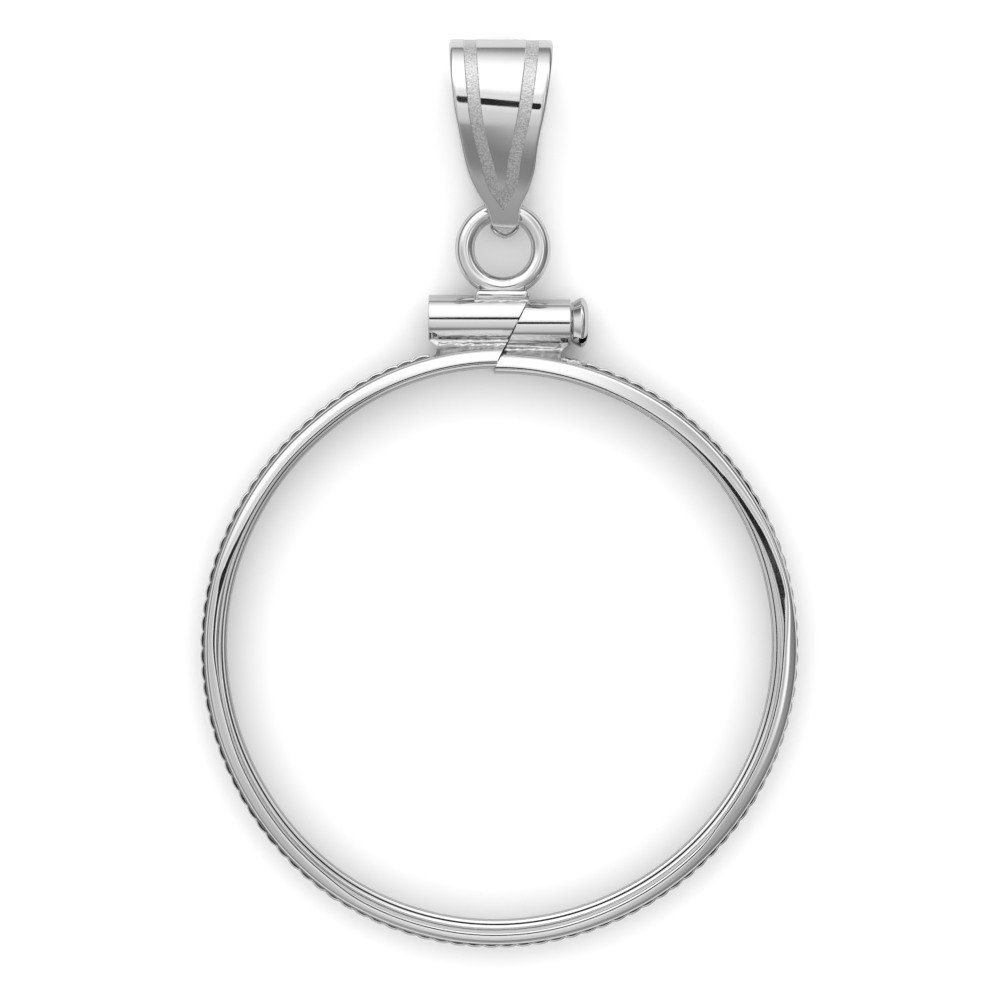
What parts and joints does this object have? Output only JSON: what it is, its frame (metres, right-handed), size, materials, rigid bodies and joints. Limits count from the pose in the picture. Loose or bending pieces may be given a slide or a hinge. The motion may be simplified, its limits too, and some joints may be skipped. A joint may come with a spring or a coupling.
{
  "type": "coin bezel",
  "caption": "Round screw-top coin bezel with a grooved hoop, coin-edge band, slotted closing screw, soldered loop and a folded tapering bail that swings on it.",
  "frame": {"origin": "centre of the coin seat, half-way through the hoop's depth", "axes": "+Z is the front of the coin, +Y points from the coin to the bail, +X is the side of the screw's head; the bezel lies on its back with the surface at z = -0.00155"},
  "size_m": [0.0285, 0.0429, 0.006],
  "materials": {
    "polished_white_metal": "polished white gold, with two sand-blasted bands on the bail"
  },
  "bodies": {
    "bezel_frame": {"bezel_frame": "polished_white_metal"},
    "top_screw": {"top_screw": "polished_white_metal"},
    "bail": {"bail": "polished_white_metal"}
  },
  "joints": [
    {"name": "bail_swing", "type": "hinge", "parent": "bezel_frame", "child": "bail", "pos_m": [0.00018, 0.02077, 0], "axis": [1, 0, 0], "range_deg": [-130, 100]},
    {"name": "screw_out", "type": "slide", "parent": "bezel_frame", "child": "top_screw", "axis": [1, 0, 0], "range_m": [0, 0.0056]}
  ]
}
